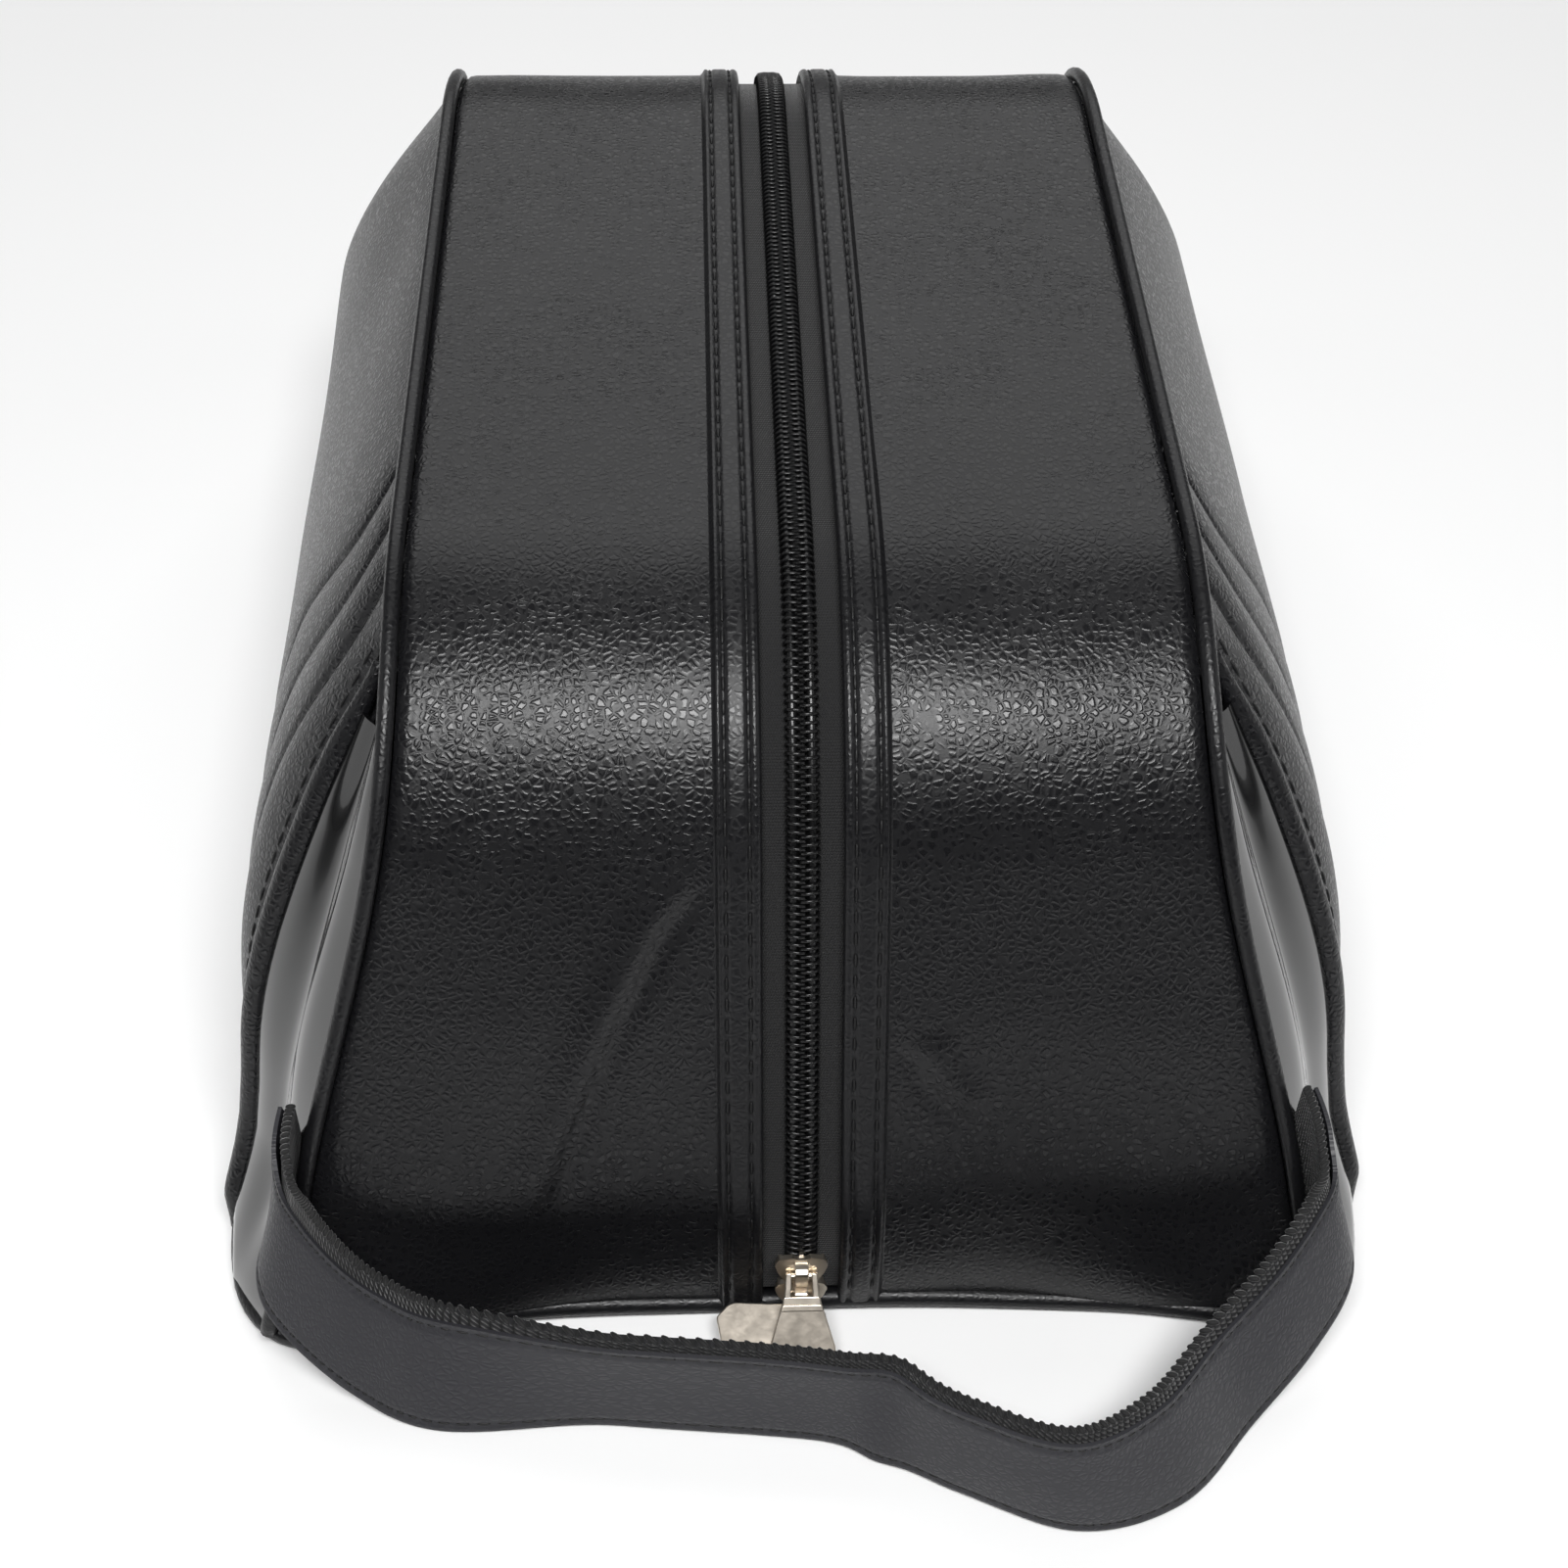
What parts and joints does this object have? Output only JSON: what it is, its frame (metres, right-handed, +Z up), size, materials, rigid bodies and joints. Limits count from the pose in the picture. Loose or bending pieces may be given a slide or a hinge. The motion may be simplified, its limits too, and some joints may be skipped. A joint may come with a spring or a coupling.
{
  "type": "golf shoe bag",
  "caption": "Soft box bag for golf shoes: a gusset band with a long two-way zip over the top, bulging quilted side panels with glossy wedges, a flat base and a strap handle.",
  "frame": {"origin": "centre of the body's base on the surface it rests on", "axes": "+Z up; +Y away from the handle end, along the bag's length; +X to the right seen from the handle end"},
  "size_m": [0.23, 0.3796, 0.132],
  "materials": {
    "pebbled_leather": "satin, pebble grain",
    "patent_leather": "high gloss",
    "nickel": "polished warm nickel",
    "zip_coil": "satin",
    "zip_tape": "woven, matt",
    "webbing": "woven, matt",
    "lining_fabric": "woven, matt",
    "foam": "matt",
    "fibre_board": "matt"
  },
  "bodies": {
    "bag": {"base_panel": "pebbled_leather", "base_board": "fibre_board", "base_lining": "lining_fabric", "base_piping": "pebbled_leather", "side_panel_left": "pebbled_leather", "side_panel_right": "pebbled_leather", "side_foam_left": "foam", "side_foam_right": "foam", "side_lining_left": "lining_fabric", "side_lining_right": "lining_fabric", "patent_panel_left": "patent_leather", "patent_panel_right": "patent_leather", "edge_roll_left": "pebbled_leather", "edge_roll_right": "pebbled_leather", "upper_piping_left": "pebbled_leather", "upper_piping_right": "pebbled_leather", "front_piping_left": "pebbled_leather", "front_piping_right": "pebbled_leather", "rear_piping_left": "pebbled_leather", "rear_piping_right": "pebbled_leather", "front_panel_left": "pebbled_leather", "front_panel_right": "pebbled_leather", "rear_panel_left": "pebbled_leather", "rear_panel_right": "pebbled_leather", "front_welt_left": "pebbled_leather", "front_welt_right": "pebbled_leather", "rear_welt_left": "pebbled_leather", "rear_welt_right": "pebbled_leather", "front_tape_left": "zip_tape", "front_tape_right": "zip_tape", "rear_tape_left": "zip_tape", "rear_tape_right": "zip_tape", "front_coil_left": "zip_coil", "front_coil_right": "zip_coil", "rear_coil_left": "zip_coil", "rear_coil_right": "zip_coil", "zip_stop_front": "zip_coil", "zip_stop_rear": "zip_coil", "handle_tab_left": "pebbled_leather", "handle_tab_right": "pebbled_leather"},
    "flap_left": {"top_panel_left": "pebbled_leather", "top_welt_left": "pebbled_leather", "top_tape_left": "zip_tape", "top_coil_left": "zip_coil"},
    "flap_right": {"top_panel_right": "pebbled_leather", "top_welt_right": "pebbled_leather", "top_tape_right": "zip_tape", "top_coil_right": "zip_coil"},
    "slider_upper": {"slider_upper": "nickel"},
    "pull_upper": {"pull_tab_upper": "nickel"},
    "slider_lower": {"slider_lower": "nickel"},
    "pull_lower": {"pull_tab_lower": "nickel"},
    "handle": {"handle_webbing": "webbing", "handle_facing": "pebbled_leather"}
  },
  "joints": [
    {"name": "flap_left_fold", "type": "hinge", "parent": "bag", "child": "flap_left", "pos_m": [-0.075, 0, 0.13], "axis": [0, -1, 0], "range_deg": [0, 95]},
    {"name": "flap_right_fold", "type": "hinge", "parent": "bag", "child": "flap_right", "pos_m": [0.075, 0, 0.13], "axis": [0, 1, 0], "range_deg": [0, 95]},
    {"name": "slider_upper_travel", "type": "hinge", "parent": "bag", "child": "slider_upper", "pos_m": [0, -0.09008, 0.005], "axis": [-1, 0, 0], "range_deg": [0, 13]},
    {"name": "slider_lower_travel", "type": "hinge", "parent": "bag", "child": "slider_lower", "pos_m": [0, -0.09008, 0.005], "axis": [-1, 0, 0], "range_deg": [0, 13]},
    {"name": "pull_upper_swing", "type": "hinge", "parent": "slider_upper", "child": "pull_upper", "pos_m": [0, -0.16691, 0.01568], "axis": [-1, 0, 0], "range_deg": [0, 110]},
    {"name": "pull_lower_swing", "type": "hinge", "parent": "slider_lower", "child": "pull_lower", "pos_m": [0, -0.16759, 0.0081], "axis": [-1, 0, 0], "range_deg": [0, 8]},
    {"name": "handle_swing", "type": "hinge", "parent": "bag", "child": "handle", "pos_m": [0, -0.166, 0.038], "axis": [-1, 0, 0], "range_deg": [0, 95]}
  ],
  "couplings": [
    {"joint": "slider_lower_travel", "follows": "slider_upper_travel", "ratio": 1}
  ]
}
